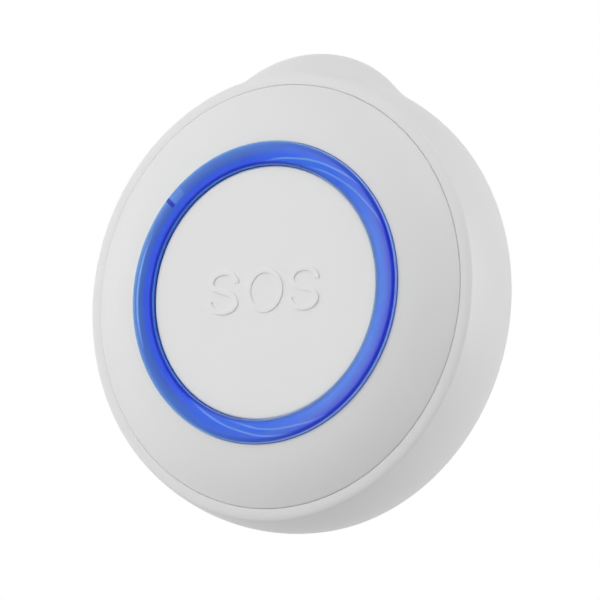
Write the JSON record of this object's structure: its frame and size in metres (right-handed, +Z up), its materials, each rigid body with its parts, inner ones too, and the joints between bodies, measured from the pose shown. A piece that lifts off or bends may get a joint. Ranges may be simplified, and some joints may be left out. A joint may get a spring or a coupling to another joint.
{
  "type": "wireless panic button",
  "caption": "Round white call button with a large push face, a blue light ring, a raised top lobe with a cord eye and a turn-to-open battery lid in its back.",
  "frame": {"origin": "centre of the foam pad's sticky face, where the button meets the wall", "axes": "+Z up towards the lobe, +X to the right seen from the front, +Y into the wall; the face looks to -Y"},
  "size_m": [0.0774, 0.0221, 0.0833],
  "materials": {
    "white_abs": "satin moulded ABS",
    "blue_guide": "clear tinted light guide",
    "foam": "white foam tape",
    "board": "solder mask on glass laminate",
    "chip": "moulded epoxy",
    "lamp": "lamp package",
    "steel": "nickel-plated steel",
    "copper": "enamelled copper wire",
    "can": "drawn can"
  },
  "bodies": {
    "case": {"rear_housing": "white_abs", "front_cover": "white_abs", "light_ring": "blue_guide", "return_spring": "steel", "switch_body": "chip", "switch_cover": "steel", "circuit_board": "board", "antenna_coil": "copper", "radio_chip": "chip", "encoder_chip": "chip", "crystal_can": "can", "storage_capacitor": "can", "coin_cell": "steel", "contact_negative": "steel", "contact_positive": "steel", "case_screws": "steel", "wall_pad": "foam", "led_1": "lamp", "led_2": "lamp", "led_3": "lamp", "led_4": "lamp", "led_5": "lamp", "led_6": "lamp", "led_7": "lamp", "led_8": "lamp"},
    "push_face": {"sos_button": "white_abs"},
    "plunger": {"switch_plunger": "chip"},
    "lid": {"battery_door": "white_abs"}
  },
  "joints": [
    {"name": "face_press", "type": "slide", "parent": "case", "child": "push_face", "axis": [0, 1, 0], "range_m": [0, 0.0005], "stiffness_N_per_m": 2000, "springref_m": -0.0005, "deforming": ["return_spring"]},
    {"name": "plunger_press", "type": "slide", "parent": "case", "child": "plunger", "axis": [0, 1, 0], "range_m": [0, 0.0005]},
    {"name": "lid_turn", "type": "hinge", "parent": "case", "child": "lid", "pos_m": [0, -0.0011, 0], "axis": [0, 1, 0], "range_deg": [0, 45]}
  ],
  "couplings": [
    {"joint": "plunger_press", "follows": "face_press", "ratio": 1}
  ]
}
